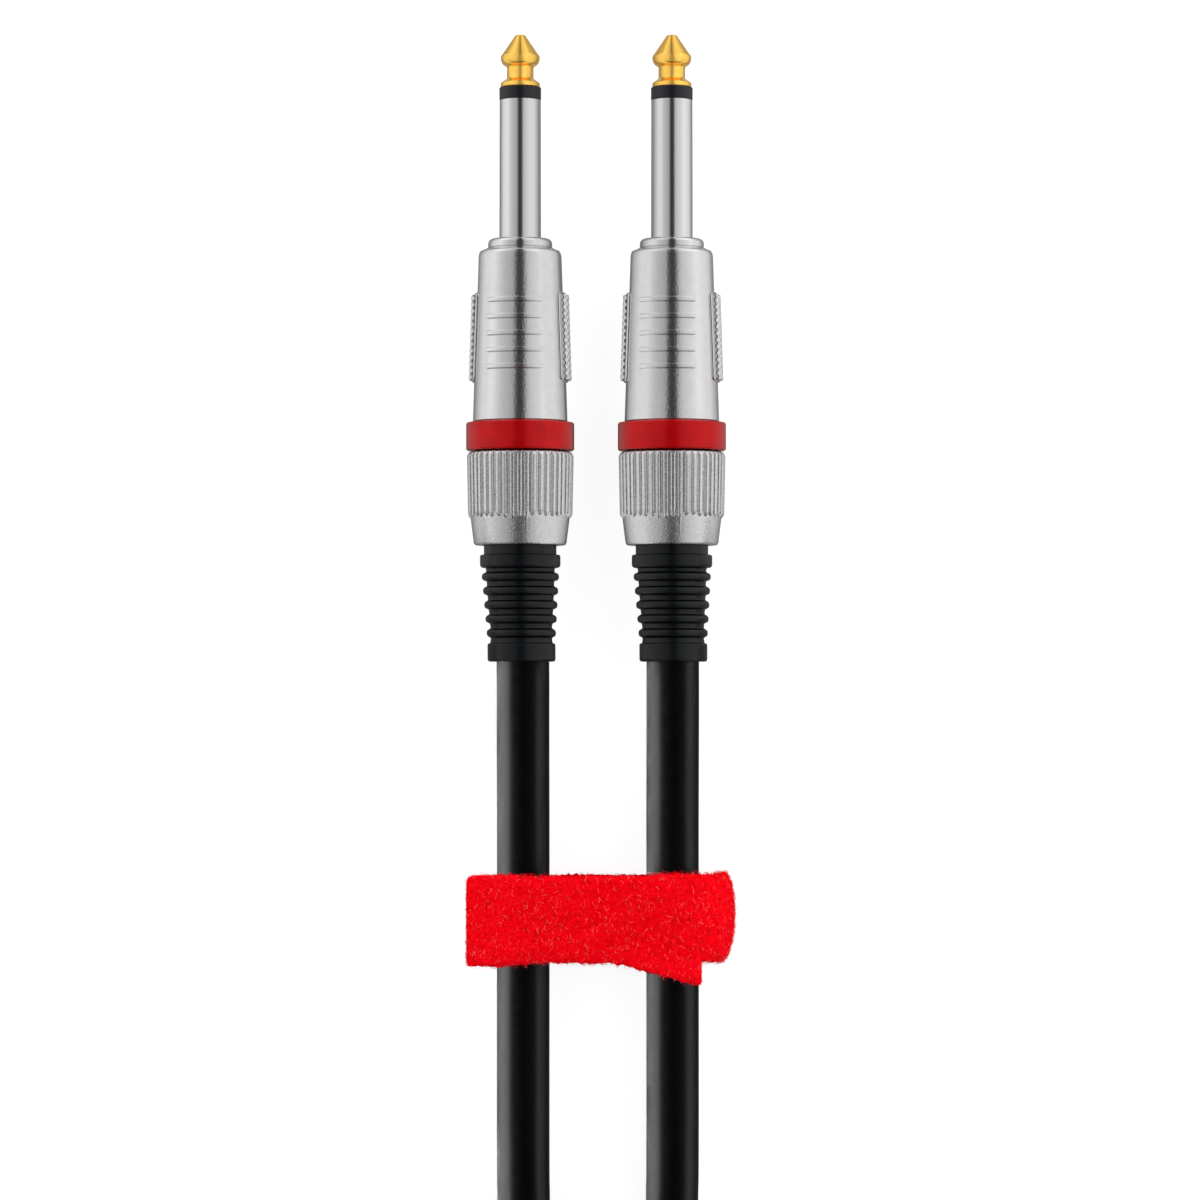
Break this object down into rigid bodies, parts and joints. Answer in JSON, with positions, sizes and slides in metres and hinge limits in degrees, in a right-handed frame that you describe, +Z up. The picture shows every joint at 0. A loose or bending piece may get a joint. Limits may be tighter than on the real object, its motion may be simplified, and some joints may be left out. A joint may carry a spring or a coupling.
{
  "type": "instrument cable",
  "caption": "Instrument cable with a straight phone plug on each end, a hook-and-loop strap round both ends and the spare length tied in a hank.",
  "frame": {"origin": "on the strap's underside, which lies on the floor, midway between the two plugs' axes", "axes": "+Y towards both plugs' tips, +Z up from the floor, +X towards the right-hand plug"},
  "size_m": [0.0756, 0.3134, 0.0436],
  "materials": {
    "gold": "polished",
    "nickel": "polished",
    "satin_nickel": "satin",
    "tinned": "satin",
    "black_plastic": "satin",
    "clear_plastic": "satin",
    "grey_plastic": "satin",
    "red_plastic": "gloss",
    "boot_rubber": "matte",
    "jacket": "gloss",
    "core_insulation": "satin",
    "copper": "satin",
    "strap_fabric": "matte",
    "tie_fabric": "matte"
  },
  "bodies": {
    "root": {"left_tip_contact": "gold", "left_tip_insulator": "black_plastic", "left_sleeve_contact": "nickel", "left_rear_insulator": "black_plastic", "left_tip_solder_tag": "tinned", "left_ground_solder_tag": "tinned", "left_shell": "satin_nickel", "left_shell_liner": "clear_plastic", "left_cord_chuck": "grey_plastic", "left_core_wire": "core_insulation", "left_shield_tail": "copper", "left_cord_lead": "jacket", "right_tip_contact": "gold", "right_tip_insulator": "black_plastic", "right_sleeve_contact": "nickel", "right_rear_insulator": "black_plastic", "right_tip_solder_tag": "tinned", "right_ground_solder_tag": "tinned", "right_shell": "satin_nickel", "right_shell_liner": "clear_plastic", "right_cord_chuck": "grey_plastic", "right_core_wire": "core_insulation", "right_shield_tail": "copper", "right_cord_lead": "jacket", "cord_hank": "jacket", "hank_tie": "tie_fabric"},
    "left_colour_ring": {"left_colour_ring": "red_plastic"},
    "left_boot": {"left_boot": "boot_rubber"},
    "left_back_nut": {"left_back_nut": "satin_nickel"},
    "right_colour_ring": {"right_colour_ring": "red_plastic"},
    "right_boot": {"right_boot": "boot_rubber"},
    "right_back_nut": {"right_back_nut": "satin_nickel"},
    "strap": {"strap_wrap": "strap_fabric"},
    "strap_flap": {"strap_flap": "strap_fabric"}
  },
  "joints": [
    {"name": "left_nut_turn", "type": "hinge", "parent": "left_boot", "child": "left_back_nut", "pos_m": [-0.0115, 0.064, 0.0082], "axis": [0, -1, 0], "range_deg": [0, 2160]},
    {"name": "left_boot_travel", "type": "slide", "parent": "root", "child": "left_boot", "axis": [0, -1, 0], "range_m": [0, 0.006]},
    {"name": "left_ring_turn", "type": "hinge", "parent": "root", "child": "left_colour_ring", "pos_m": [-0.0115, 0.0734, 0.0082], "axis": [0, 1, 0], "continuous": true},
    {"name": "right_nut_turn", "type": "hinge", "parent": "right_boot", "child": "right_back_nut", "pos_m": [0.0115, 0.064, 0.0082], "axis": [0, -1, 0], "range_deg": [0, 2160]},
    {"name": "right_boot_travel", "type": "slide", "parent": "root", "child": "right_boot", "axis": [0, -1, 0], "range_m": [0, 0.006]},
    {"name": "right_ring_turn", "type": "hinge", "parent": "root", "child": "right_colour_ring", "pos_m": [0.0115, 0.0734, 0.0082], "axis": [0, 1, 0], "continuous": true},
    {"name": "strap_slide", "type": "slide", "parent": "root", "child": "strap", "axis": [0, 1, 0], "range_m": [-0.02, 0.007]},
    {"name": "strap_flap_open", "type": "hinge", "parent": "strap", "child": "strap_flap", "pos_m": [0.01415, 0, 0.0134], "axis": [0, 1, 0], "range_deg": [0, 110]}
  ],
  "couplings": [
    {"joint": "left_nut_turn", "follows": "left_boot_travel", "rad_per_m": 6283.1},
    {"joint": "right_nut_turn", "follows": "right_boot_travel", "rad_per_m": 6283.1}
  ]
}
